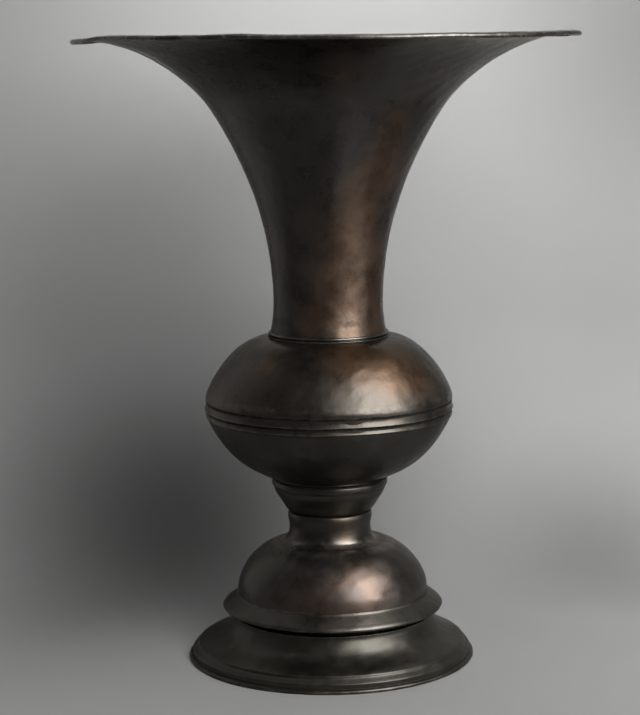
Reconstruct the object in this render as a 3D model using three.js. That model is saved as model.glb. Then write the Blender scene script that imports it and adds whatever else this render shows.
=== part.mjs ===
// Copper baluster urn: a trumpet neck and a round bowl, carried by a cup, a stem, a dome and a
// spreading plinth. Every shell is raised from sheet copper. The shells of the vessel are lapped and
// soldered, and the open shells of the foot are stacked and drawn together by an iron tie rod.
// Millimetres, +Z up, origin on the floor at the centre of the foot.

import * as THREE from "three";

// Sheet, joints and facets
const sheet = 1.2; // thickness of the copper sheet
const seam = 0.3; // solder line or joint line between two pieces
const wireClearance = 0.3; // room round a wire in its rolled edge
const facets = 32; // facets round the axis
const rollStep = 30; // degrees between points on a rolled edge
const footRollTop = 75; // angle on the roll where the foot's sheet meets it
const brimRollTop = 45; // angle on the roll where the brim's sheet meets it
const rollEnd = -180; // angle on these rolls where the sheet ends
const rimRollEnd = -120; // angle on the roll where the rim's sheet ends
const wireSides = 6;
const longCurve = 8; // steps along a long curve
const shortCurve = 5; // steps along a short curve

// Plinth
const footRadius = 209.7; // outside of the rolled foot edge
const footWireRadius = 1.3;
const bandInset = 5.7; // upright band behind the outside of the foot edge
const bandBottom = 6; // floor to the lower end of the band
const bandTop = 13; // floor to the edge between the band and the ledge
const ledgeWidth = 16.2; // crease on the skirt to the outside of the foot edge
const creaseHeight = 20.7;
const creaseStep = 1.3; // skirt's foot above the crease
const creaseInset = 0.5; // skirt's foot behind the crease
const skirtFootPull = new THREE.Vector2(2, 9.5);
const skirtNeckPull = new THREE.Vector2(8, 33.4);
const deckMargin = 8; // plinth neck outside the dome wall
const plinthNeckHeight = 3;
const plinthHeight = 65; // floor to deck
const deckFlange = 21; // dome wall to the edge of the opening in the deck

// Dome and its brim
const domeRadius = 139;
const domeWall = 35.7; // straight wall under the curve
const domeRise = 71; // curved part, wall to crown
const domeWallPull = 34.7;
const crownPull = 27.6;
const brimOverhang = 22.4; // brim edge outside the dome wall
const brimWireRadius = 1.1;
const brimTop = 32.2; // height of the brim's collar above the deck
const brimCollar = 0.8; // straight part of that collar
const brimCollarPull = 1.5;
const brimEdgePull = 8;
const brimEdge = 13.8; // height of the brim's wire above the deck

// Stem
const stemWaistRadius = 59.3;
const stemTopRadius = 61.2;
const stemFlange = 12.7; // flared foot outside the waist
const stemFlangePull = 8.5;
const stemWaistPull = 13;
const stemWaistHeight = 22.7;
const stemHeight = 44.9;
const stemCorner = 3; // radius of the rounded top edge
const seatFlange = 10.5; // turned-in flanges inside the stem waist

// Cup
const cupHeight = 51.6;
const cupWallRadius = 82.2;
const cupFootInset = 5.2; // cup floor's edge inside the stem's top
const cupFootPull = 8;
const cupBodyPull = new THREE.Vector2(12.5, 22);
const cupLipBand = 15.5; // straight wall and lip above the tapered body
const cupLipHeight = 3;
const cupLipFlare = 3.4;
const cupBeadHeight = 11;
const cupBeadProud = 2.4;
const cupBeadDrop = 3.4; // lip edge to the top of the bead

// Bowl, belly beads and shoulder
const bowlRadius = 177.6;
const bowlFloorRadius = 40;
const bowlDepth = 95.3; // underside of the floor to the belly seam
const bowlFloorPull = 73;
const bowlWallPull = new THREE.Vector2(20, 49);
const lowerBeadHeight = 9;
const lowerBeadProud = 2;
const upperBeadHeight = 12.5;
const upperBeadProud = 3;
const beadTopProud = 0.5; // upper edge of a flared bead outside the bowl's collar
const beadLip = 1.1; // chamfer on the lower edge of a flared bead
const beadGroove = 0.9; // open groove above each flared bead
const collarLap = 6; // bowl's collar inside the shoulder
const shoulderRise = 92;
const shoulderWallPull = 7;
const shoulderTopRadius = 90; // edge of the flat landing under the neck
const shoulderTopPull = new THREE.Vector2(54, 2.6);
const shoulderMouthRadius = 72;

// Neck and rim
const seatLipWidth = 3.6; // seat ring outside the neck's foot
const seatLipHeight = 1.7;
const seatSleeve = 38; // sleeve of the seat ring inside the neck
const neckFootRadius = 83.8;
const neckWaistRadius = 79.3;
const neckWaistHeight = 40.5;
const neckFootPull = 9.5;
const neckWaistPull = 19;
const neckBeadHeight = 5;
const neckBeadProud = 2.9;
const neckBeadLift = 0.5; // neck's foot to the underside of its bead
const trumpetHeight = 387.9; // waist to the top of the rim
const trumpetWaistPull = 119;
const bellRadius = 167.6; // where the trumpet opens into its bell
const bellHeight = 287; // that place above the waist
const bellSlope = 57.5; // degrees from level
const bellLowerPull = 96;
const bellUpperPull = 33;
const rimPull = 97.5;
const rimRadius = 361;
const rimWireRadius = 1.5;

// Tie rod and its fittings
const rodRadius = 5;
const rodClearance = 0.5;
const rodEnd = 6; // thread showing past each nut
const nutAcrossFlats = 17;
const nutHeight = 8;
const washerThickness = 2;
const bowlWasherRadius = 18;
const bridgeWasherRadius = 12;
const sealRadius = 22;
const sealThickness = 3;
const bridgeWidth = 30;
const bridgeThickness = 6;
const bridgeBearing = 12; // length of the bar under the deck at each end

// Finishes
const copper = { slot: "patinated_copper", color: 0x3a2a24, roughness: 0.38, metalness: 0.9 };
const iron = { slot: "iron", color: 0x4a4744, roughness: 0.6, metalness: 0.8 };
const leather = { slot: "leather", color: 0x4b3322, roughness: 0.8, metalness: 0 };

// Heights of the stacked pieces
const domeBase = plinthHeight + seam;
const domeSpring = domeBase + domeWall;
const crownHeight = domeSpring + domeRise;
const stemBase = crownHeight + seam;
const stemTop = stemBase + stemHeight;
const cupBase = stemTop + seam;
const cupTop = cupBase + cupHeight;
const seatOpening = stemWaistRadius - seatFlange;

// Outlines are lines of points, r from the axis and z up
function at(r, z) {
  return new THREE.Vector2(r, z);
}

function curve(start, startPull, endPull, end, steps) {
  return new THREE.CubicBezierCurve(start, startPull, endPull, end).getPoints(steps);
}

function arc(centre, radius, fromDegrees, toDegrees) {
  const steps = Math.ceil(Math.abs(toDegrees - fromDegrees) / rollStep);
  const points = [];
  for (let i = 0; i <= steps; i += 1) {
    const degrees = fromDegrees + ((toDegrees - fromDegrees) * i) / steps;
    const angle = THREE.MathUtils.degToRad(degrees);
    points.push(at(centre.x + radius * Math.cos(angle), centre.y + radius * Math.sin(angle)));
  }
  return points;
}

function leftOf(from, to) {
  const along = to.clone().sub(from).normalize();
  return at(-along.y, along.x);
}

// The same line moved to its left, with mitred corners
function offset(line, distance) {
  const last = line.length - 1;
  return line.map((point, i) => {
    const before = leftOf(line[Math.max(i - 1, 0)], line[Math.max(i, 1)]);
    const after = leftOf(line[Math.min(i, last - 1)], line[Math.min(i + 1, last)]);
    const middle = before.clone().add(after).normalize();
    return point.clone().addScaledVector(middle, distance / middle.dot(after));
  });
}

// Sheet metal whose outer face follows a line that climbs from foot to top
function sheetOutline(line) {
  return [...line, ...offset(line, sheet).reverse()];
}

// Half-round bead with its flat side inwards
function beadOutline(innerRadius, proud, bottom, height) {
  const points = [];
  for (const degrees of [-90, -45, 0, 45, 90]) {
    const angle = THREE.MathUtils.degToRad(degrees);
    const z = bottom + (height * (1 + Math.sin(angle))) / 2;
    points.push(at(innerRadius + proud * Math.cos(angle), z));
  }
  return points;
}

// Bead that flares out to a sharp lower edge
function flaredBeadOutline(innerRadius, proud, bottom, height) {
  const lip = at(innerRadius + proud, bottom + beadLip);
  const top = at(innerRadius + beadTopProud, bottom + height);
  const middle = at(top.x, (lip.y + top.y) / 2);
  return [
    at(innerRadius, bottom),
    at(lip.x - beadLip, bottom),
    ...curve(lip, middle, middle, top, shortCurve),
    at(innerRadius, top.y),
  ];
}

function heightAt(line, radius) {
  const i = line.findIndex((point) => point.x > radius);
  const [a, b] = [line[i - 1], line[i]];
  return a.y + ((b.y - a.y) * (radius - a.x)) / (b.x - a.x);
}

// Meshes
function piece(name, geometry, finish) {
  const { color, roughness, metalness } = finish;
  const mesh = new THREE.Mesh(geometry, new THREE.MeshStandardMaterial({ color, roughness, metalness }));
  mesh.name = name;
  mesh.material.name = finish.slot;
  return mesh;
}

function turned(name, outline, finish) {
  const geometry = new THREE.LatheGeometry([...outline, outline[0].clone()], facets);
  geometry.rotateX(Math.PI / 2);
  return piece(name, geometry, finish);
}

function wireRing(name, centre, radius) {
  const points = [];
  for (let i = 0; i < wireSides; i += 1) {
    const angle = (i * 2 * Math.PI) / wireSides;
    points.push(at(centre.x + radius * Math.cos(angle), centre.y + radius * Math.sin(angle)));
  }
  return turned(name, points, iron);
}

function washer(name, radius, bottom, thickness, finish) {
  const inner = rodRadius + rodClearance;
  const top = bottom + thickness;
  return turned(name, [at(inner, bottom), at(radius, bottom), at(radius, top), at(inner, top)], finish);
}

// Flat plate with a hole for the rod
function drilled(name, corners, bottom, thickness) {
  const shape = new THREE.Shape(corners);
  const hole = new THREE.Path();
  hole.absarc(0, 0, rodRadius + rodClearance, 0, 2 * Math.PI, true);
  shape.holes.push(hole);
  const geometry = new THREE.ExtrudeGeometry(shape, { depth: thickness, bevelEnabled: false });
  geometry.translate(0, 0, bottom);
  return piece(name, geometry, iron);
}

function hexNut(name, bottom) {
  const cornerRadius = nutAcrossFlats / Math.sqrt(3);
  const corners = [];
  for (let i = 0; i < 6; i += 1) {
    const angle = (i * Math.PI) / 3;
    corners.push(at(cornerRadius * Math.cos(angle), cornerRadius * Math.sin(angle)));
  }
  return drilled(name, corners, bottom, nutHeight);
}

// Plinth: rolled foot edge, band, ledge, swelling skirt, neck and deck
function makePlinth() {
  const roll = footWireRadius + wireClearance + sheet;
  const flatAngle = rollStep / 2;
  const rollHeight = roll * Math.cos(THREE.MathUtils.degToRad(flatAngle));
  const rollCentre = at(footRadius - roll, rollHeight);
  const bandRadius = footRadius - bandInset;
  const crease = at(footRadius - ledgeWidth, creaseHeight);
  const skirtFoot = at(crease.x - creaseInset, crease.y + creaseStep);
  const neckRadius = domeRadius + deckMargin;
  const neckFoot = at(neckRadius, plinthHeight - plinthNeckHeight);
  const footPull = at(skirtFoot.x - skirtFootPull.x, skirtFoot.y + skirtFootPull.y);
  const neckPull = at(neckFoot.x + skirtNeckPull.x, neckFoot.y - skirtNeckPull.y);
  const line = [
    ...arc(rollCentre, roll, rollEnd - flatAngle, -90 - flatAngle),
    ...arc(rollCentre, roll, -90 + flatAngle, footRollTop),
    at(bandRadius, bandBottom),
    at(bandRadius, bandTop),
    crease,
    ...curve(skirtFoot, footPull, neckPull, neckFoot, longCurve),
    at(neckRadius, plinthHeight),
    at(domeRadius - deckFlange, plinthHeight),
  ];
  return [
    turned("plinth", sheetOutline(line), copper),
    wireRing("foot_wire", rollCentre, footWireRadius),
  ];
}

// Dome with an open crown, standing on the deck, and the brim soldered round its wall
function makeDome() {
  const crownEdge = at(stemWaistRadius + stemFlange, crownHeight);
  const line = [
    at(domeRadius, domeBase),
    ...curve(
      at(domeRadius, domeSpring),
      at(domeRadius, domeSpring + domeWallPull),
      at(crownEdge.x + crownPull, crownHeight),
      crownEdge,
      longCurve,
    ),
    at(seatOpening, crownHeight),
  ];
  const roll = brimWireRadius + wireClearance + sheet;
  const rollCentre = at(domeRadius + brimOverhang - roll, plinthHeight + brimEdge);
  const collarRadius = domeRadius + seam + sheet;
  const collarTop = plinthHeight + brimTop;
  const flareTop = at(collarRadius, collarTop - brimCollar);
  const rollTurn = arc(rollCentre, roll, rollEnd, brimRollTop);
  const rollStart = rollTurn.pop();
  const brimLine = [
    ...rollTurn,
    ...curve(
      rollStart,
      at(rollStart.x - brimEdgePull, rollStart.y + brimEdgePull),
      at(collarRadius, flareTop.y - brimCollarPull),
      flareTop,
      shortCurve,
    ),
    at(collarRadius, collarTop),
  ];
  return [
    turned("foot_dome", sheetOutline(line), copper),
    turned("dome_brim", sheetOutline(brimLine), copper),
    wireRing("brim_wire", rollCentre, brimWireRadius),
  ];
}

// Waisted stem with a flared foot and a turned-in top
function makeStem() {
  const flangeTop = stemBase + sheet;
  const waist = at(stemWaistRadius, stemBase + stemWaistHeight);
  const cornerCentre = at(stemTopRadius - stemCorner, stemTop - stemCorner);
  const line = [
    ...curve(
      at(stemWaistRadius + stemFlange, flangeTop),
      at(stemWaistRadius + stemFlange - stemFlangePull, flangeTop),
      at(stemWaistRadius, waist.y - stemWaistPull),
      waist,
      shortCurve,
    ),
    ...arc(cornerCentre, stemCorner, 0, 90),
    at(seatOpening, stemTop),
  ];
  return turned("stem", sheetOutline(line), copper);
}

function cupLine() {
  const foot = at(stemTopRadius - cupFootInset, cupBase);
  const footPull = at(foot.x + cupFootPull, cupBase);
  const bodyTop = at(cupWallRadius, cupTop - cupLipBand);
  return [
    at(seatOpening, cupBase),
    ...curve(foot, footPull, bodyTop.clone().sub(cupBodyPull), bodyTop, shortCurve),
    at(cupWallRadius, cupTop - cupLipHeight),
    at(cupWallRadius + cupLipFlare, cupTop),
  ];
}

// Cup with a flared lip and a bead round its straight wall
function makeCup() {
  const beadBottom = cupTop - cupBeadDrop - cupBeadHeight;
  const bead = beadOutline(cupWallRadius + seam, cupBeadProud, beadBottom, cupBeadHeight);
  return [
    turned("cup", sheetOutline(cupLine()), copper),
    turned("cup_bead", bead, copper),
  ];
}

// Underside of the bowl, with its floor at height zero
function bowlCurve() {
  const floorEdge = at(bowlFloorRadius, 0);
  const bellySeam = at(bowlRadius, bowlDepth);
  const floorPull = at(bowlFloorRadius + bowlFloorPull, 0);
  return curve(floorEdge, floorPull, bellySeam.clone().sub(bowlWallPull), bellySeam, longCurve);
}

// Height of the bowl's floor when the bowl sits on the inner edge of the cup's lip
function bowlFloorHeight() {
  const lipEdge = offset(cupLine(), sheet).at(-1);
  return lipEdge.y + seam - heightAt(bowlCurve(), lipEdge.x);
}

const bowlFloor = bowlFloorHeight();
const bellySeam = bowlFloor + bowlDepth;
const lowerBeadBottom = bellySeam + seam;
const upperBeadBottom = lowerBeadBottom + lowerBeadHeight + beadGroove;
const shoulderBase = upperBeadBottom + upperBeadHeight + beadGroove;
const shoulderTop = shoulderBase + shoulderRise;
const seatBottom = shoulderTop + seam;
const neckFoot = seatBottom + seatLipHeight + seam;
const neckWaist = neckFoot + neckWaistHeight;
const rimTop = neckWaist + trumpetHeight;

// Bowl with a tall collar that carries the two beads and fits inside the shoulder
function makeBowl() {
  const line = [
    at(rodRadius + rodClearance, bowlFloor),
    ...bowlCurve().map((point) => at(point.x, point.y + bowlFloor)),
    at(bowlRadius, shoulderBase + collarLap),
  ];
  const lapRadius = bowlRadius + seam;
  const lowerBead = flaredBeadOutline(lapRadius, lowerBeadProud, lowerBeadBottom, lowerBeadHeight);
  const upperBead = flaredBeadOutline(lapRadius, upperBeadProud, upperBeadBottom, upperBeadHeight);
  return [
    turned("lower_bowl", sheetOutline(line), copper),
    turned("lower_belly_bead", lowerBead, copper),
    turned("upper_belly_bead", upperBead, copper),
  ];
}

// Shoulder lapped over the bowl's collar, with a flat landing round its mouth
function makeShoulder() {
  const foot = at(bowlRadius + seam + sheet, shoulderBase);
  const lapTop = at(foot.x, shoulderBase + collarLap);
  const landing = at(shoulderTopRadius, shoulderTop);
  const landingPull = at(landing.x + shoulderTopPull.x, landing.y - shoulderTopPull.y);
  const line = [
    foot,
    ...curve(lapTop, at(foot.x, lapTop.y + shoulderWallPull), landingPull, landing, longCurve),
    at(shoulderMouthRadius, shoulderTop),
  ];
  return turned("shoulder", sheetOutline(line), copper);
}

// Seat ring: a lip between shoulder and neck, and a sleeve up to the neck's waist
function makeSeatRing() {
  const outer = neckWaistRadius - sheet - seam;
  const inner = outer - sheet;
  const lip = neckFootRadius + seatLipWidth;
  const lipTop = seatBottom + seatLipHeight;
  const sleeveTop = seatBottom + seatSleeve;
  const outline = [
    at(inner, seatBottom),
    at(lip, seatBottom),
    at(lip, lipTop),
    at(outer, lipTop),
    at(outer, sleeveTop),
    at(inner, sleeveTop),
  ];
  return turned("neck_seat_ring", outline, copper);
}

// Trumpet neck with its rim rolled down round a wire
function makeNeck() {
  const waist = at(neckWaistRadius, neckWaist);
  const wireRoom = rimWireRadius + wireClearance;
  const rollCentre = at(rimRadius - wireRoom - sheet, rimTop - wireRoom - sheet);
  const roll = arc(rollCentre, wireRoom, 90, rimRollEnd);
  const rimStart = roll.shift();
  const foot = curve(
    at(neckFootRadius, neckFoot),
    at(neckFootRadius, neckFoot + neckFootPull),
    at(neckWaistRadius, neckWaist - neckWaistPull),
    waist,
    shortCurve,
  );
  const bell = at(bellRadius, neckWaist + bellHeight);
  const slope = THREE.MathUtils.degToRad(bellSlope);
  const climb = at(Math.cos(slope), Math.sin(slope));
  const trumpet = curve(
    waist,
    at(neckWaistRadius, neckWaist + trumpetWaistPull),
    bell.clone().addScaledVector(climb, -bellLowerPull),
    bell,
    longCurve,
  );
  const rim = curve(
    bell,
    bell.clone().addScaledVector(climb, bellUpperPull),
    at(rimStart.x - rimPull, rimStart.y),
    rimStart,
    longCurve,
  );
  const line = [...foot, ...trumpet.slice(1), ...rim.slice(1), ...roll];
  const beadRadius = neckFootRadius + seam;
  const bead = beadOutline(beadRadius, neckBeadProud, neckFoot + neckBeadLift, neckBeadHeight);
  return [
    turned("trumpet_neck", sheetOutline(line), copper),
    turned("neck_bead", bead, copper),
    wireRing("rim_wire", rollCentre, rimWireRadius),
  ];
}

// Tie rod from a bar under the deck to a sealed nut on the bowl's floor
function makeTie() {
  const barBottom = plinthHeight - sheet - seam - bridgeThickness;
  const lowWasherBottom = barBottom - seam - washerThickness;
  const lowNutBottom = lowWasherBottom - seam - nutHeight;
  const rodBottom = lowNutBottom - rodEnd;
  const sealBottom = bowlFloor + sheet + seam;
  const highWasherBottom = sealBottom + sealThickness + seam;
  const highNutBottom = highWasherBottom + washerThickness + seam;
  const rodTop = highNutBottom + nutHeight + rodEnd;

  const rodGeometry = new THREE.CylinderGeometry(rodRadius, rodRadius, rodTop - rodBottom, facets / 2);
  rodGeometry.rotateX(Math.PI / 2);
  const rod = piece("tie_rod", rodGeometry, iron);
  rod.position.z = (rodTop + rodBottom) / 2;

  const halfLength = domeRadius - deckFlange + bridgeBearing;
  const halfWidth = bridgeWidth / 2;
  const barCorners = [
    at(-halfLength, -halfWidth),
    at(halfLength, -halfWidth),
    at(halfLength, halfWidth),
    at(-halfLength, halfWidth),
  ];
  return [
    rod,
    drilled("bridge_bar", barCorners, barBottom, bridgeThickness),
    washer("bridge_washer", bridgeWasherRadius, lowWasherBottom, washerThickness, iron),
    hexNut("bridge_nut", lowNutBottom),
    washer("bowl_seal", sealRadius, sealBottom, sealThickness, leather),
    washer("bowl_washer", bowlWasherRadius, highWasherBottom, washerThickness, copper),
    hexNut("bowl_nut", highNutBottom),
  ];
}

function group(pieces) {
  const parent = new THREE.Group();
  parent.add(...pieces);
  return parent;
}

const foot = group([...makePlinth(), ...makeDome(), makeStem(), ...makeCup()]);
const vessel = group([...makeBowl(), makeShoulder(), makeSeatRing(), ...makeNeck()]);
const tie = group(makeTie());
const urn = group([foot, vessel, tie]);

export default urn;
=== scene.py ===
# Copper baluster urn in a small studio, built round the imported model
import math

import bmesh
import bpy
import numpy as np
from mathutils import Matrix, Vector


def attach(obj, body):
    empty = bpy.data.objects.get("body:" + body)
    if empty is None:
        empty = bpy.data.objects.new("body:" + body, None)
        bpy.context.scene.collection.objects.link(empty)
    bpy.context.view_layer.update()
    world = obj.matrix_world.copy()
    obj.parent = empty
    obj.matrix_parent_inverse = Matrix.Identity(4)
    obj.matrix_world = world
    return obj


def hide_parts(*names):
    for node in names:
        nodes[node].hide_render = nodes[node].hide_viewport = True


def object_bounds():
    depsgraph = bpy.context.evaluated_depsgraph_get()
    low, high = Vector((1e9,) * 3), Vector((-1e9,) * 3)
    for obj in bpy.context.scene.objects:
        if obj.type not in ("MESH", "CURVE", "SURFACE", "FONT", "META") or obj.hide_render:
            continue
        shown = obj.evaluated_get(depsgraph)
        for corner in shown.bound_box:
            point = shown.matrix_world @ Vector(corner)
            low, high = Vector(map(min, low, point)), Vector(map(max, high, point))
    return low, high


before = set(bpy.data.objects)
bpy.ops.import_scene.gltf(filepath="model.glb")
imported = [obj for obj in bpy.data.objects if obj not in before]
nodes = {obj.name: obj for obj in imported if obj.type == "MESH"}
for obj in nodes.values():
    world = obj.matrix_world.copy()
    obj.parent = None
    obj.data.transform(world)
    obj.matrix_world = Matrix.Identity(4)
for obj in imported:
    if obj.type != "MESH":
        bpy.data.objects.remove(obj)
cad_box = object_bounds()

MM = 0.001

# Turned pieces
FACETS = 32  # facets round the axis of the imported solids
TURNS = 360  # segments round the axis of the finished pieces
WIRE_TURNS = 180
WELD = 1e-6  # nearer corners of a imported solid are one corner
STRAIGHT = 0.3  # degrees, a smaller turn in an outline is none
CORNER = 33  # degrees, a sharper turn is a corner
BEAD_CORNER = 60  # degrees, the same for half-round beads
WIRE_CORNER = 61  # degrees, the same for round wires
EDGE_ROUND = 0.5 * MM  # radius left on sheet edges and in solder fillets
WORN_ROUND = 0.9 * MM  # radius of edges that are much handled
ROUND_STEPS = (0.25, 0.5, 0.75)  # places of the points on a rounded corner
BESIDE_CORNER = (1, 1.8, 3.5, 7)  # distances of the points beside a corner, in edge radii
BESIDE_MOST = 0.4  # share of a line that those points may take
BESIDE_SHORT = 0.3  # share where the only point stands on a short line

# Wear, and dirt with painted shade in the hollows, that follow from the outline's turns, summed over a
# width
WEAR_WIDTH = 1.3 * MM
WEAR_TURN = (0.35, 1.3)  # radians, from no wear to full
GRIME_AND_SHADE_WIDTH = 2.5 * MM
GRIME_AND_SHADE_TURN = (0.3, 1.1)  # radians, from no dirt and painted shade to the most
GRIME_AND_SHADE_MOST = 0.6

# Hand work: planishing marks, long waves, the lean of the vessel and the wavy rim
HAND_SEED = 7
PLANISH_WAVES = 28
PLANISH_LENGTH = (17 * MM, 34 * MM)
PLANISH_DEPTH = 0.1 * MM
SWELL_WAVES = 16
SWELL_LENGTH = (70 * MM, 170 * MM)
SWELL_DEPTH = 0.22 * MM
LEAN_BASE = 172 * MM  # height where the stem stands beside the dome's centre
LEAN_SHIFT = -2.6 * MM
LEAN_CLEAR = (15 * MM, 45 * MM)  # radii between which the lean grows, clear of the tie rod
RIM_WAVE_FROM = 240 * MM  # radius where the rim's waves begin
RIM_WAVE_ABOVE = 0.5  # share of the height under which nothing waves
RIM_BELL = 8  # degrees, reach of each height set round the rim
RIM_HEIGHTS = (  # degrees round the axis and height above the level rim in mm
    (-180, -3.7), (-166, -2.3), (-158, -2.7), (-148, 2.3), (-141, 1.7), (-134, 1.2),
    (-128, 0.8), (-123, 0.2), (-118, 1.0), (-111, 1.7), (-96, -0.1), (-83, -0.5),
    (-74, -1.1), (-64, 0.3), (-54, -1.0), (-46, -0.4), (-38, -0.7), (-31, 1.4),
    (-20, 1.5), (0, 0.3), (20, -0.7), (40, -1.2), (60, -1.3), (80, -0.6),
    (100, 0.5), (118, 0.4), (128, 0.9), (134, 0.9), (141, 0.2), (148, -0.4),
    (158, -1.6), (170, -3.1),
)
FOOT_SHIFT = -3.0 * MM  # the foot's edge stands beside the axis
FOOT_SHIFT_OVER = (188 * MM, 199 * MM)  # radii between which the shift grows
FOOT_SHIFT_UNDER = 40 * MM

# Outlines bent from the imported ones: radius, height, reach, and the move along each, in mm
BRIM_BENT = ((158, 78, 30, 0, -2.2),)
BENT = {
    "stem": ((72.0, 173.5, 0.5, 7.0, -2.4), (71.7, 172.3, 0.5, 7.0, -1.4)),
    "dome_brim": BRIM_BENT,
    "brim_wire": BRIM_BENT,
    "plinth": (
        (172.3, 33.0, 1, 0, -0.3), (179.7, 30.0, 1, 0, -0.55), (186.1, 27.6, 1, 0, -0.6),
        (190.8, 25.1, 1, 0.8, -0.4), (193.0, 22.0, 0.7, 2.6, 0.7), (193.5, 20.7, 0.7, 3.05, -1.45),
    ),
}

# Rings rubbed bright: radius, height and reach in mm, and strength
WORN = (
    (67, 175, 12, 1.0),
    (85, 167, 15, 0.85),
    (141, 94.6, 1.0, 0.5),
    (175, 391, 8, 0.7),
    (358, 901.9, 4.5, 1.2),
)

# Rings painted dark, with dirt and with shade in grooves, recesses and joints: radius, height and reach
# in mm, and strength
DIRT_AND_SHADE = (
    (200.5, 16, 4, 0.45),
    (141, 69, 9, 1.0),
    (60, 217.4, 2, 0.9),
    (82.6, 254.2, 1.5, 0.9),
    (83, 266.2, 1.5, 0.9),
    (82, 270.5, 3, 0.9),
    (178, 358.4, 1.8, 0.7),
    (178.8, 367.6, 3.0, 1.1),
    (179, 381.2, 3.0, 1.1),
    (87, 474.3, 1.6, 0.8),
    (85.5, 476.5, 1.1, 1.0),
    (81, 488, 6, 0.34),
    (79.5, 501, 10, 0.46),
)

# Places where the patina is thin and warm: degrees round the axis, height and reach in mm, and strength
WARM = {
    "trumpet_neck": (
        (-54, 530, 62, 1.0), (-57, 590, 45, 0.7), (-110, 507, 24, 0.8), (-54, 746, 40, 0.7),
        (-51, 690, 40, 0.6), (-52, 795, 35, 0.6), (-78, 655, 60, 0.5), (60, 560, 60, 0.9),
        (-32, 530, 55, 1.0), (130, 700, 60, 0.6), (100, 520, 45, 0.8), (20, 780, 50, 0.5),
        (175, 620, 50, 0.6),
    ),
    "shoulder": (
        (-44, 441, 48, 1.0), (-79, 466, 42, 0.9), (-127, 450, 26, 0.5),
        (40, 430, 50, 0.8), (110, 450, 45, 0.7), (165, 420, 40, 0.6),
    ),
    "stem": ((-71, 205, 25, 0.6), (-72, 179, 13, 1.0), (90, 205, 25, 0.6)),
    "foot_dome": (
        (-110, 114, 55, 0.6), (-65, 138, 45, 0.7), (-85, 100, 45, 0.6),
        (30, 120, 50, 0.6), (120, 110, 50, 0.7),
    ),
    "dome_brim": ((-82, 88, 55, 0.9), (60, 88, 30, 0.4), (150, 88, 40, 0.4)),
}
WARM_BAND = 6 * MM  # the outline this near in height gives the radius of a warm place

# Foot of the stem, soldered flush to the dome, without a worn edge or painted dirt and shade of its own
FLUSH_FROM = 62 * MM
FLUSH_TOP = 179 * MM

# Camera
CAMERA_AT = (-14.25 * MM, -3.0057, 0.9025)
CAMERA_PITCH = 8.712
CAMERA_ROLL = 0.726
SENSOR = 36.0
FOCAL_PIXELS = 2093.6
IMAGE_WIDTH = 640

# Studio: a paper that runs from a table up a cove into a wall, seen from its front only.
# The metal mirrors the near part, a table's width, and past it the dim room.
TABLE_HALF = 0.75
TABLE_FRONT = -0.45
COVE_START = 0.25
COVE_RADIUS = 0.42
COVE_STEPS = 24
PAPER_TOP = 1.7
PAPER_REACH = 7.0
PAPER_PAINTED_SHADOWS = (  # painted soft shadows on the paper: centre, reach and strength
    ((-0.3, 0.53, 0.11), 0.62, 0.74),
    ((-0.42, 0.1, 0), 0.42, 0.3),
    ((-0.6, 0.67, 0.95), 0.5, 0.17),
    ((0.6, 0.67, 0.97), 0.44, 0.36),
    ((0.46, 0.42, 0.05), 0.3, 0.33),
)

# The dim room as the metal mirrors it, what it gives other surfaces, and the grey past the paper
ROOM_LEFT = 0.48
ROOM_RIGHT = 0.24
ROOM_FRONT = 0.1
CEILING_FRONT = 0.2
CEILING = 1.9
ROOM_FILL = 0.03
PAST_PAPER = 0.34

# Panels that only the metal sees: azimuth from the front, height, half width, half height and roll
# in degrees from the urn, and brightness
PANEL_CENTRE = (0, 0, 0.45)
PANEL_DISTANCE = 2.3
PANELS = (
    ("key", 50, 28, 17, 27, -20, 8.2),
    ("key_wide", 56, 34, 24, 12, 0, 1.8),
    ("key_left", 25, 25, 8, 20, 0, 3.4),
    ("key_top", 74, 64, 22, 18, 0, 1.3),
    ("card", 57, -2, 24, 10, 0, 1.8),
)

# Lamps: light thrown up by the table, the main light on the paper, and a glow on the wall
LAMPS = {
    "table_glow": dict(
        at=(0.7, -0.78, 0.01), towards=(0.7, -0.78, 1), width=1.0, height=0.65, power=1.2, on_paper=False
    ),
    "main": dict(
        at=(1.04, -2.05, 1.8), towards=(0.1, 0.2, 0.45), width=1.6, height=1.6, power=42, on_metal=False
    ),
    "glow": dict(
        at=(0.05, -0.2, 2.0), towards=(0.05, 0.67, 1.0), width=0.8, height=0.4, power=4, spread=90
    ),
}

rng = np.random.default_rng(HAND_SEED)
top_height = cad_box[1].z


def smoothstep(low, high, value):
    t = np.clip((value - low) / (high - low), 0, 1)
    return t * t * (3 - 2 * t)


# Outlines, r and z, walked anticlockwise so that outside is on the right
def cut_outline(name):
    bm = bmesh.new()
    bm.from_mesh(nodes[name].data)
    bmesh.ops.remove_doubles(bm, verts=bm.verts, dist=WELD)
    half = math.pi / FACETS
    across = Vector((-math.sin(half), math.cos(half), 0))
    along = Vector((math.cos(half), math.sin(half), 0))
    everything = [*bm.verts, *bm.edges, *bm.faces]
    cut = bmesh.ops.bisect_plane(bm, geom=everything, plane_co=(0, 0, 0), plane_no=across)
    links = {}
    for edge in cut["geom_cut"]:
        if isinstance(edge, bmesh.types.BMEdge):
            a, b = edge.verts
            if (a.co + b.co).dot(along) > 0:
                links.setdefault(a, []).append(b)
                links.setdefault(b, []).append(a)
    start = next(iter(links))
    loop = [start]
    previous, current = None, start
    while True:
        step = [v for v in links[current] if v is not previous]
        previous, current = current, step[0]
        if current is start:
            break
        loop.append(current)
    points = np.array([(v.co.dot(along) / math.cos(half), v.co.z) for v in loop])
    bm.free()
    r, z = points.T
    area = np.sum(r * np.roll(z, -1) - np.roll(r, -1) * z)
    return points if area > 0 else points[::-1]


def turn_at(points):
    before = points - np.roll(points, 1, 0)
    after = np.roll(points, -1, 0) - points
    cross = before[:, 0] * after[:, 1] - before[:, 1] * after[:, 0]
    return np.arctan2(cross, (before * after).sum(1))


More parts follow.
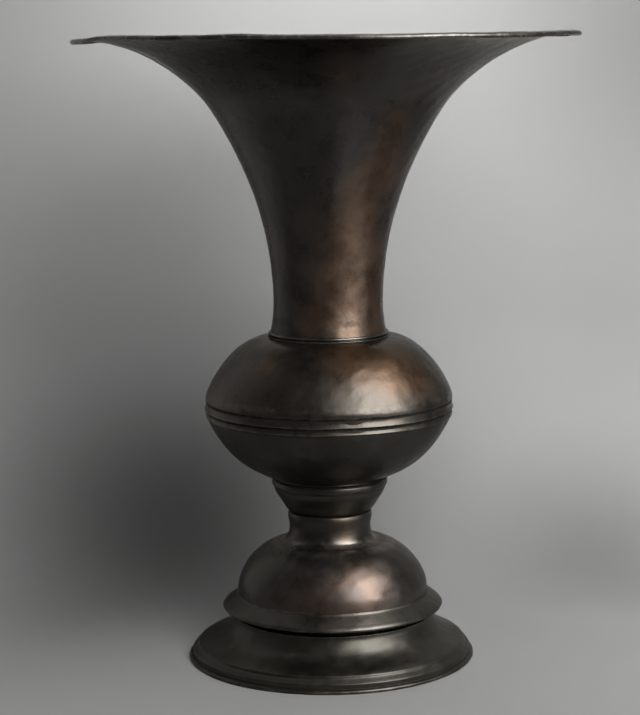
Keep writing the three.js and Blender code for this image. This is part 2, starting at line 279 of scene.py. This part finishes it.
def drop_straight(points):
    while True:
        straight = np.flatnonzero(np.abs(turn_at(points)) < math.radians(STRAIGHT))
        if len(straight) == 0:
            return points
        points = np.delete(points, straight[0], 0)


def bend(name, points):
    bent = points.copy()
    for r, z, reach, along_r, along_z in BENT.get(name, ()):
        apart = np.hypot(points[:, 0] / MM - r, points[:, 1] / MM - z)
        share = np.exp(-((apart / reach) ** 2))
        bent[:, 0] += share * along_r * MM
        bent[:, 1] += share * along_z * MM
    return bent


def hermite(a, b, ta, tb, t):
    length = np.linalg.norm(b - a)
    t = t[:, None]
    return (
        (2 * t**3 - 3 * t**2 + 1) * a
        + (t**3 - 2 * t**2 + t) * ta * length
        + (3 * t**2 - 2 * t**3) * b
        + (t**3 - t**2) * tb * length
    )


def stations(length, step, corner_start, corner_end, edge_round):
    """Distances along a line, close together beside a corner."""
    near = edge_round * np.array(BESIDE_CORNER)
    start = near[near < BESIDE_MOST * length] if corner_start else np.array([0.0])
    end = near[near < BESIDE_MOST * length] if corner_end else np.array([0.0])
    if corner_start and len(start) == 0:
        start = np.array([BESIDE_SHORT * length])
    if corner_end and len(end) == 0:
        end = np.array([BESIDE_SHORT * length])
    room = length - start[-1] - end[-1]
    count = max(1, math.ceil(room / step))
    middle = start[-1] + room * np.arange(1, count) / count
    return np.concatenate([start, middle, (length - end)[::-1]])


def fine_outline(points, step, corner_degrees, edge_round):
    """Smooth curves between the corners of an outline, and rounded corners."""
    points = drop_straight(points)
    corner = np.abs(turn_at(points)) > math.radians(corner_degrees)
    into = points - np.roll(points, 1, 0)
    out = np.roll(points, -1, 0) - points
    tangent = into / (into**2).sum(1)[:, None] + out / (out**2).sum(1)[:, None]
    tangent /= np.linalg.norm(tangent, axis=1)[:, None]
    runs = []
    for i in range(len(points)):
        j = (i + 1) % len(points)
        length = np.linalg.norm(out[i])
        chord = out[i] / length
        ta = chord if corner[i] else tangent[i]
        tb = chord if corner[j] else tangent[j]
        where = stations(length, step, corner[i], corner[j], edge_round)
        runs.append(hermite(points[i], points[j], ta, tb, where / length))
    fine = []
    for i in range(len(points)):
        if corner[i]:
            a, b = runs[i - 1][-1], runs[i][0]
            for t in ROUND_STEPS:
                fine.append((1 - t) ** 2 * a + 2 * t * (1 - t) * points[i] + t * t * b)
        last = None if corner[(i + 1) % len(points)] else -1
        fine.extend(runs[i][:last])
    return np.array(fine)


def gather(values, along, width):
    """Sum of values within a bell of that width along the closed outline."""
    total = along[-1] + np.mean(np.diff(along))
    apart = np.abs(along[:, None] - along[None, :])
    apart = np.minimum(apart, total - apart)
    return np.exp(-((apart / width) ** 2)) @ values


class Turned:
    """A turned piece: fine outline, outward directions, how worn each point is, and how darkened by dirt
    and painted shade.
    """

    def __init__(self, name, step, corner_degrees=CORNER, turns=TURNS, edge_round=EDGE_ROUND):
        self.name = name
        self.turns = turns
        outline = bend(name, drop_straight(cut_outline(name)))
        self.line = fine_outline(outline, step, corner_degrees, edge_round)
        ahead = np.roll(self.line, -1, 0) - np.roll(self.line, 1, 0)
        ahead /= np.linalg.norm(ahead, axis=1)[:, None]
        self.outward = np.stack([ahead[:, 1], -ahead[:, 0]], 1)
        lengths = np.linalg.norm(np.diff(self.line, axis=0), axis=1)
        along = np.concatenate([[0], np.cumsum(lengths)])
        turn = turn_at(self.line)
        worn = smoothstep(*WEAR_TURN, gather(turn, along, WEAR_WIDTH))
        # Dirt and painted shade gather where the outline turns inward, in creases and at joints
        dirt_and_shade = GRIME_AND_SHADE_MOST * smoothstep(*GRIME_AND_SHADE_TURN, gather(-turn, along, GRIME_AND_SHADE_WIDTH))
        self.wear = self.ringed(worn, WORN)
        self.grime_and_shade = self.ringed(dirt_and_shade, DIRT_AND_SHADE)

    def ringed(self, values, rings):
        for r, z, reach, strength in rings:
            apart = np.hypot(self.line[:, 0] - r * MM, self.line[:, 1] - z * MM)
            values = np.maximum(values, strength * np.exp(-((apart / (reach * MM)) ** 2)))
        return values

    def flush_foot(self):
        """Clears the low outer foot, apart from the rubbed rings."""
        r, z = self.line.T
        low = (z < FLUSH_TOP) & (r > FLUSH_FROM)
        self.wear[low] = 0
        self.wear = self.ringed(self.wear, WORN)
        self.grime_and_shade[low] = 0


def warmth(piece, points):
    """How warm the patina is at each point, from none to full."""
    total = np.zeros(len(points))
    for degrees, z, reach, strength in WARM.get(piece.name, ()):
        near = piece.line[np.abs(piece.line[:, 1] - z * MM) < WARM_BAND]
        r = near[:, 0].max()
        angle = math.radians(degrees)
        centre = np.array([r * math.cos(angle), r * math.sin(angle), z * MM])
        apart = ((points - centre) ** 2).sum(1)
        total += strength * np.exp(-apart / (reach * MM) ** 2)
    return np.minimum(total, 1)


# Hand work
def waves(count, lengths):
    direction = rng.normal(size=(count, 3))
    direction /= np.linalg.norm(direction, axis=1)[:, None]
    length = rng.uniform(*lengths, size=count)
    return direction * (2 * math.pi / length)[:, None], rng.uniform(0, 2 * math.pi, count)


planish = waves(PLANISH_WAVES, PLANISH_LENGTH)
swell = waves(SWELL_WAVES, SWELL_LENGTH)


def field(points, wave, depth):
    vectors, phases = wave
    total = np.zeros(len(points))
    for vector, phase in zip(vectors, phases):
        total += np.cos(points @ vector + phase)
    return total * depth / math.sqrt(len(phases) / 2)


def rim_height(angle):
    total, weight = 0, 0
    for degrees, height in RIM_HEIGHTS:
        apart = (np.degrees(angle) - degrees + 180) % 360 - 180
        near = np.exp(-((apart / RIM_BELL) ** 2))
        total = total + near * height * MM
        weight = weight + near
    return total / weight


def hand_work(points, normals):
    """Moves nominal points as the smith's work did.

    Marks go along each surface's own normal, so the two faces of a sheet part or close there.
    The lean, the foot's shift and the rim's waves move neighbouring pieces together.
    """
    x, y, z = points.T
    radius = np.hypot(x, y)
    angle = np.arctan2(y, x)
    marks = field(points, planish, PLANISH_DEPTH) + field(points, swell, SWELL_DEPTH)
    moved = points + normals * marks[:, None]
    above = np.clip((top_height - z) / (top_height - LEAN_BASE), 0, 1)
    lean = LEAN_SHIFT * above * (z > LEAN_BASE) * smoothstep(*LEAN_CLEAR, radius)
    aside = FOOT_SHIFT * smoothstep(*FOOT_SHIFT_OVER, radius) * (z < FOOT_SHIFT_UNDER)
    moved[:, 0] += lean + aside
    rise = smoothstep(RIM_WAVE_FROM, cad_box[1].x, radius) * (z > RIM_WAVE_ABOVE * top_height)
    moved[:, 2] += rise * rim_height(angle)
    moved[:, 2] = np.maximum(moved[:, 2], 0)
    return moved


def spin(piece):
    count, turns = len(piece.line), piece.turns
    angle = 2 * math.pi * np.arange(turns) / turns
    cos, sin = np.cos(angle)[:, None], np.sin(angle)[:, None]
    r, z = piece.line.T
    points = np.stack([cos * r, sin * r, np.broadcast_to(z, (turns, count))], 2).reshape(-1, 3)
    nr, nz = piece.outward.T
    normals = np.stack([cos * nr, sin * nr, np.broadcast_to(nz, (turns, count))], 2).reshape(-1, 3)
    marks = {
        "wear": np.tile(piece.wear, turns),
        "grime_and_shade": np.tile(piece.grime_and_shade, turns),
        "warm": warmth(piece, points),
    }
    points = hand_work(points, normals)
    i = np.arange(turns)[:, None] * count
    k = (np.arange(turns)[:, None] + 1) % turns * count
    j = np.arange(count)[None, :]
    n = (j + 1) % count
    faces = np.stack([i + j, k + j, k + n, i + n], 2).reshape(-1, 4)
    mesh = bpy.data.meshes.new(piece.name + "_turned")
    mesh.from_pydata(points.tolist(), [], faces.tolist())
    mesh.polygons.foreach_set("use_smooth", np.ones(len(faces), bool))
    for label, values in marks.items():
        layer = mesh.attributes.new(label, "FLOAT", "POINT")
        layer.data.foreach_set("value", values.astype(np.float32))
    mesh.update()
    made = bpy.data.objects.new(piece.name + "_turned", mesh)
    bpy.context.scene.collection.objects.link(made)
    return made


# Materials
class Shader:
    """A node material with a Principled shader."""

    def __init__(self, name):
        self.material = bpy.data.materials.new(name)
        self.material.use_nodes = True
        self.tree = self.material.node_tree
        self.tree.nodes.clear()
        self.output = self.add("ShaderNodeOutputMaterial")
        self.main = self.add("ShaderNodeBsdfPrincipled")
        self.tree.links.new(self.main.outputs[0], self.output.inputs["Surface"])
        self.place = self.add("ShaderNodeTexCoord").outputs["Object"]

    def add(self, kind, inputs=None, **settings):
        node = self.tree.nodes.new(kind)
        for key, value in settings.items():
            setattr(node, key, value)
        for key, value in (inputs or {}).items():
            self.feed(node.inputs[key], value)
        return node

    def feed(self, socket, value):
        if isinstance(value, bpy.types.NodeSocket):
            self.tree.links.new(value, socket)
        else:
            socket.default_value = value

    def noise(self, scale, detail, rough=0.55, distortion=0.0, place=None):
        inputs = {
            "Vector": place or self.place,
            "Scale": scale,
            "Detail": detail,
            "Roughness": rough,
            "Distortion": distortion,
        }
        return self.add("ShaderNodeTexNoise", inputs).outputs[0]

    def stretched(self, scale):
        return self.add("ShaderNodeMapping", {"Vector": self.place, "Scale": scale}).outputs[0]

    def attribute(self, name):
        return self.add("ShaderNodeAttribute", attribute_name=name).outputs["Fac"]

    def math(self, operation, a, b):
        return self.add("ShaderNodeMath", {0: a, 1: b}, operation=operation).outputs[0]

    def rescale(self, value, low, high, to_low=0.0, to_high=1.0):
        inputs = {"Value": value, "From Min": low, "From Max": high, "To Min": to_low, "To Max": to_high}
        return self.add("ShaderNodeMapRange", inputs, interpolation_type="SMOOTHSTEP").outputs[0]

    def mix(self, factor, a, b):
        node = self.add("ShaderNodeMix", data_type="RGBA")
        for socket, value in ((0, factor), (6, a), (7, b)):
            self.feed(node.inputs[socket], value)
        return node.outputs[2]

    def ramp(self, factor, stops):
        node = self.add("ShaderNodeValToRGB", {"Fac": factor})
        elements = node.color_ramp.elements
        while len(elements) < len(stops):
            elements.new(0.5)
        for element, (position, tone) in zip(elements, stops):
            element.position = position
            element.color = tone
        return node.outputs[0]

    def bump(self, height, strength, distance):
        inputs = {"Height": height, "Strength": strength, "Distance": distance}
        self.feed(self.main.inputs["Normal"], self.add("ShaderNodeBump", inputs).outputs[0])


def colour(r, g, b):
    return (r, g, b, 1.0)


def grey(level):
    return colour(level, level, level)


def shade(tone, amount):
    return colour(*(amount * part for part in tone[:3]))


SMOKE = colour(0.058, 0.057, 0.058)
RUBBED = colour(0.19, 0.168, 0.142)
# Near-black used both for dirt and for painted shade
SOOT_AND_SHADE = colour(0.008, 0.007, 0.006)
EDGE_TINT = colour(0.5, 0.48, 0.45)


def copper(name, plain, warm, rough):
    """Waxed dark patina: soft clouds, warm thin places, cool mottles, worn edges, dirt and painted shade
    in the grooves.
    """
    s = Shader(name)
    clouds = s.noise(scale=8, detail=7, rough=0.62, distortion=0.3)
    mottles = s.noise(scale=27, detail=8, rough=0.66, distortion=0.25)
    grain = s.noise(scale=190, detail=5, rough=0.6)
    peen = s.noise(scale=95, detail=2, rough=0.5)
    upright = s.stretched((60, 60, 9))
    streaks = s.noise(scale=1, detail=6, rough=0.6, distortion=0.3, place=upright)
    tone = s.math("ADD", clouds, s.math("MULTIPLY", s.math("SUBTRACT", mottles, 0.5), 0.55))
    base = s.ramp(tone, [(0.3, shade(plain, 0.7)), (0.5, plain), (0.72, shade(plain, 1.25))])
    copper_tone = s.ramp(tone, [(0.3, shade(warm, 0.65)), (0.5, warm), (0.72, shade(warm, 1.3))])
    thin = s.math("ADD", s.attribute("warm"), s.math("MULTIPLY", s.math("SUBTRACT", tone, 0.5), 0.9))
    base = s.mix(s.rescale(thin, 0.1, 0.85), base, copper_tone)
    blotches = s.noise(scale=13, detail=4, rough=0.6)
    smoke = s.rescale(s.math("MULTIPLY", mottles, blotches), 0.27, 0.42, 0, 0.5)
    base = s.mix(smoke, base, SMOKE)
    drips = s.rescale(streaks, 0.58, 0.78, 0, 0.25)
    base = s.mix(drips, base, shade(plain, 0.5))
    wear = s.math("MULTIPLY", s.attribute("wear"), s.rescale(mottles, 0.3, 0.7, 0.35, 1.2))
    rubbed = s.rescale(wear, 0.25, 0.9, 0, 0.7)
    base = s.mix(rubbed, base, RUBBED)
    # Dirt and painted shade in grooves, recesses and joints: near-black colour, less metal and coat,
    # rougher
    grime_and_shade = s.math("MULTIPLY", s.attribute("grime_and_shade"), s.rescale(grain, 0.3, 0.7, 0.7, 1.1))
    dirt_and_shade = s.rescale(grime_and_shade, 0.1, 0.9, 0, 0.9)
    base = s.mix(dirt_and_shade, base, SOOT_AND_SHADE)
    s.feed(s.main.inputs["Base Color"], base)
    clean_and_unshaded = s.math("SUBTRACT", 1.0, dirt_and_shade)
    s.feed(s.main.inputs["Metallic"], s.math("MULTIPLY", clean_and_unshaded, 0.75))
    s.feed(s.main.inputs["Specular IOR Level"], s.math("MULTIPLY", clean_and_unshaded, 0.5))
    patches = s.rescale(mottles, 0.3, 0.75, rough - 0.07, rough + 0.09)
    patches = s.math("SUBTRACT", patches, s.math("MULTIPLY", rubbed, 0.1))
    roughness = s.math("ADD", patches, s.math("MULTIPLY", dirt_and_shade, 0.35))
    s.feed(s.main.inputs["Roughness"], roughness)
    s.main.inputs["Specular Tint"].default_value = EDGE_TINT
    s.feed(s.main.inputs["Coat Weight"], s.math("MULTIPLY", clean_and_unshaded, 0.15))
    s.main.inputs["Coat Roughness"].default_value = 0.28
    height = s.math("ADD", s.math("MULTIPLY", peen, 0.7), s.math("MULTIPLY", grain, 0.3))
    s.bump(height, strength=0.22, distance=1.2 * MM)
    return s.material


def iron_material():
    s = Shader("rusted_iron")
    spots = s.noise(scale=120, detail=8, rough=0.65, distortion=0.4)
    fine = s.noise(scale=700, detail=4, rough=0.6)
    bare, brown, red = colour(0.09, 0.085, 0.08), colour(0.16, 0.11, 0.08), colour(0.24, 0.1, 0.045)
    s.feed(s.main.inputs["Base Color"], s.ramp(spots, [(0.35, bare), (0.55, brown), (0.72, red)]))
    s.feed(s.main.inputs["Metallic"], s.rescale(spots, 0.4, 0.65, 0.9, 0.1))
    s.feed(s.main.inputs["Roughness"], s.rescale(spots, 0.35, 0.7, 0.42, 0.85))
    s.bump(s.math("ADD", spots, fine), strength=0.35, distance=0.6 * MM)
    return s.material


def leather_material():
    s = Shader("oiled_leather")
    grain = s.add("ShaderNodeTexVoronoi", {"Vector": s.place, "Scale": 900.0}).outputs["Distance"]
    stain = s.noise(scale=150, detail=6, rough=0.6)
    dark, light = colour(0.05, 0.027, 0.014), colour(0.16, 0.085, 0.04)
    s.feed(s.main.inputs["Base Color"], s.ramp(stain, [(0.3, dark), (0.7, light)]))
    s.feed(s.main.inputs["Roughness"], s.rescale(stain, 0.3, 0.7, 0.5, 0.75))
    s.bump(grain, strength=0.4, distance=0.4 * MM)
    return s.material


# Plain and warm tone of the patina on each part of the urn, and roughness
neck_copper = copper("neck_copper", colour(0.051, 0.0455, 0.0415), colour(0.1, 0.064, 0.043), 0.31)
bowl_copper = copper("bowl_copper", colour(0.059, 0.0505, 0.0415), colour(0.108, 0.064, 0.037), 0.31)
under_copper = copper("under_copper", colour(0.046, 0.042, 0.036), colour(0.08, 0.057, 0.04), 0.34)
foot_copper = copper("foot_copper", colour(0.058, 0.052, 0.044), colour(0.095, 0.067, 0.053), 0.33)
brim_copper = copper("brim_copper", colour(0.0495, 0.0455, 0.037), colour(0.094, 0.082, 0.071), 0.33)
plinth_copper = copper("plinth_copper", colour(0.0465, 0.043, 0.035), colour(0.068, 0.055, 0.044), 0.36)
iron = iron_material()
leather = leather_material()

# The turned pieces, with the step along their outlines and their finish
turned = [
    (Turned("trumpet_neck", 6 * MM), neck_copper),
    (Turned("neck_bead", 1 * MM, BEAD_CORNER), neck_copper),
    (Turned("neck_seat_ring", 3 * MM), bowl_copper),
    (Turned("shoulder", 3 * MM), bowl_copper),
    (Turned("upper_belly_bead", 1 * MM, edge_round=WORN_ROUND), bowl_copper),
    (Turned("lower_belly_bead", 1 * MM, edge_round=WORN_ROUND), bowl_copper),
    (Turned("lower_bowl", 3.5 * MM), under_copper),
    (Turned("cup", 2 * MM), plinth_copper),
    (Turned("cup_bead", 1 * MM, BEAD_CORNER), plinth_copper),
    (Turned("stem", 2 * MM), under_copper),
    (Turned("foot_dome", 3 * MM), foot_copper),
    (Turned("dome_brim", 1.5 * MM), brim_copper),
    (Turned("plinth", 2 * MM, edge_round=WORN_ROUND), plinth_copper),
    (Turned("rim_wire", 1 * MM, WIRE_CORNER, WIRE_TURNS), iron),
    (Turned("brim_wire", 1 * MM, WIRE_CORNER, WIRE_TURNS), iron),
    (Turned("foot_wire", 1 * MM, WIRE_CORNER, WIRE_TURNS), iron),
]
for piece, finish in turned:
    if piece.name == "stem":
        piece.flush_foot()
    made = spin(piece)
    made.data.materials.append(finish)
    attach(made, "root")
    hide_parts(piece.name)

# The tie's fittings stay as imported
for name in ("tie_rod", "bridge_bar", "bridge_washer", "bridge_nut", "bowl_nut"):
    nodes[name].material_slots[0].material = iron
nodes["bowl_washer"].material_slots[0].material = bowl_copper
nodes["bowl_seal"].material_slots[0].material = leather


# Studio
def paper_material():
    s = Shader("stage_paper")
    stops = [(0.3, colour(0.59, 0.59, 0.582)), (0.7, colour(0.62, 0.62, 0.612))]
    base = s.ramp(s.noise(scale=3, detail=3), stops)
    # Painted shadows: soft dark pools mixed into the paper's colour
    for centre, reach, strength in PAPER_PAINTED_SHADOWS:
        apart = s.add("ShaderNodeVectorMath", {0: s.place, 1: centre}, operation="DISTANCE")
        dark = s.rescale(apart.outputs["Value"], 0, reach, strength, 0)
        base = s.mix(dark, base, grey(0))
    s.feed(s.main.inputs["Base Color"], base)
    s.main.inputs["Roughness"].default_value = 0.9
    clear = s.add("ShaderNodeBsdfTransparent")
    back = s.add("ShaderNodeNewGeometry").outputs["Backfacing"]
    choose = s.add("ShaderNodeMixShader", {0: back, 1: s.main.outputs[0], 2: clear.outputs[0]})
    s.tree.links.new(choose.outputs[0], s.output.inputs["Surface"])
    return s.material


def make_stage():
    wall = COVE_START + COVE_RADIUS
    line = [(-PAPER_REACH, 0.0), (TABLE_FRONT, 0.0)]
    for i in range(COVE_STEPS + 1):
        a = i / COVE_STEPS * math.pi / 2
        line.append((COVE_START + COVE_RADIUS * math.sin(a), COVE_RADIUS * (1 - math.cos(a))))
    line += [(wall, PAPER_TOP), (wall, PAPER_REACH)]
    columns = (-PAPER_REACH, -TABLE_HALF, TABLE_HALF, PAPER_REACH)
    points = [(x, y, z) for y, z in line for x in columns]
    near, rest = [], []
    for i in range(len(line) - 1):
        for j in range(len(columns) - 1):
            k = len(columns) * i + j
            over = k + len(columns)
            inside = j == 1 and 0 < i < len(line) - 2
            (near if inside else rest).append((k, k + 1, over + 1, over))
    paper = paper_material()
    for name, faces in (("stage_near", near), ("stage_rest", rest)):
        mesh = bpy.data.meshes.new(name)
        mesh.from_pydata(points, [], faces)
        mesh.polygons.foreach_set("use_smooth", [True] * len(faces))
        mesh.materials.append(paper)
        mesh.update()
        sheet = bpy.data.objects.new(name, mesh)
        sheet.visible_glossy = name == "stage_near"
        bpy.context.scene.collection.objects.link(sheet)


def soft_light(
    name, at, towards, width, height, power, on_metal=True, on_paper=True, roll=0.0, spread=180.0
):
    data = bpy.data.lights.new(name, "AREA")
    data.shape = "RECTANGLE"
    data.size, data.size_y = width, height
    data.energy = power
    data.spread = math.radians(spread)
    lamp = bpy.data.objects.new(name, data)
    lamp.location = at
    aim = (Vector(towards) - Vector(at)).to_track_quat("-Z", "Y").to_matrix()
    lamp.rotation_euler = (aim @ Matrix.Rotation(math.radians(roll), 3, "Z")).to_euler()
    lamp.visible_camera = False
    lamp.visible_glossy = on_metal
    lamp.visible_diffuse = on_paper
    bpy.context.scene.collection.objects.link(lamp)


def panel(name, azimuth, height, half_width, half_height, roll, radiance):
    """A panel of even brightness, turned to the urn."""
    across, up = math.radians(azimuth), math.radians(height)
    reach = PANEL_DISTANCE * math.cos(up)
    away = Vector((reach * math.sin(across), -reach * math.cos(across), PANEL_DISTANCE * math.sin(up)))
    wide = 2 * PANEL_DISTANCE * math.tan(math.radians(half_width))
    tall = 2 * PANEL_DISTANCE * math.tan(math.radians(half_height))
    power = radiance * math.pi * wide * tall
    centre = Vector(PANEL_CENTRE)
    soft_light(name, centre + away, centre, wide, tall, power, on_paper=False, roll=roll)


def make_world():
    """A dim room that metal mirrors brighter towards the ceiling, and a plain grey past the paper."""
    world = bpy.data.worlds.new("studio")
    world.use_nodes = True
    tree = world.node_tree
    tree.nodes.remove(tree.nodes["Background"])
    path = tree.nodes.new("ShaderNodeLightPath")
    where = tree.nodes.new("ShaderNodeTexCoord")
    split = tree.nodes.new("ShaderNodeSeparateXYZ")
    tree.links.new(where.outputs["Generated"], split.inputs[0])

    def plain(level):
        node = tree.nodes.new("ShaderNodeBackground")
        node.inputs["Color"].default_value = grey(level)
        return node.outputs[0]

    def choose(switch, no, yes):
        node = tree.nodes.new("ShaderNodeMixShader")
        for socket, source in zip(node.inputs, (switch, no, yes)):
            tree.links.new(source, socket)
        return node.outputs[0]

    def climb(part, low, high):
        node = tree.nodes.new("ShaderNodeMapRange")
        node.interpolation_type = "SMOOTHSTEP"
        node.inputs["From Min"].default_value = low
        node.inputs["From Max"].default_value = high
        tree.links.new(split.outputs[part], node.inputs["Value"])
        return node.outputs[0]

    far = choose(climb("X", -0.4, 0.4), plain(ROOM_LEFT), plain(ROOM_RIGHT))
    sides = choose(climb("Y", -0.3, 0.6), plain(ROOM_FRONT), far)
    ceiling = choose(climb("Y", -0.25, 0.0), plain(CEILING_FRONT), plain(CEILING))
    mirrored = choose(climb("Z", 0.86, 1.0), sides, ceiling)
    lit = choose(path.outputs["Is Glossy Ray"], plain(ROOM_FILL), mirrored)
    seen = choose(path.outputs["Is Camera Ray"], lit, plain(PAST_PAPER))
    tree.links.new(seen, tree.nodes["World Output"].inputs["Surface"])
    bpy.context.scene.world = world


def make_camera():
    data = bpy.data.cameras.new("camera")
    data.sensor_fit = "HORIZONTAL"
    data.sensor_width = SENSOR
    data.lens = FOCAL_PIXELS / IMAGE_WIDTH * SENSOR
    camera = bpy.data.objects.new("camera", data)
    tilt = Matrix.Rotation(math.radians(90 - CAMERA_PITCH), 4, "X")
    roll = Matrix.Rotation(math.radians(-CAMERA_ROLL), 4, "Z")
    camera.matrix_world = Matrix.Translation(CAMERA_AT) @ tilt @ roll
    bpy.context.scene.collection.objects.link(camera)
    bpy.context.scene.camera = camera


make_stage()
make_world()
for settings in PANELS:
    panel(*settings)
for name, settings in LAMPS.items():
    soft_light(name, **settings)
make_camera()
bpy.context.scene.view_settings.view_transform = "Standard"
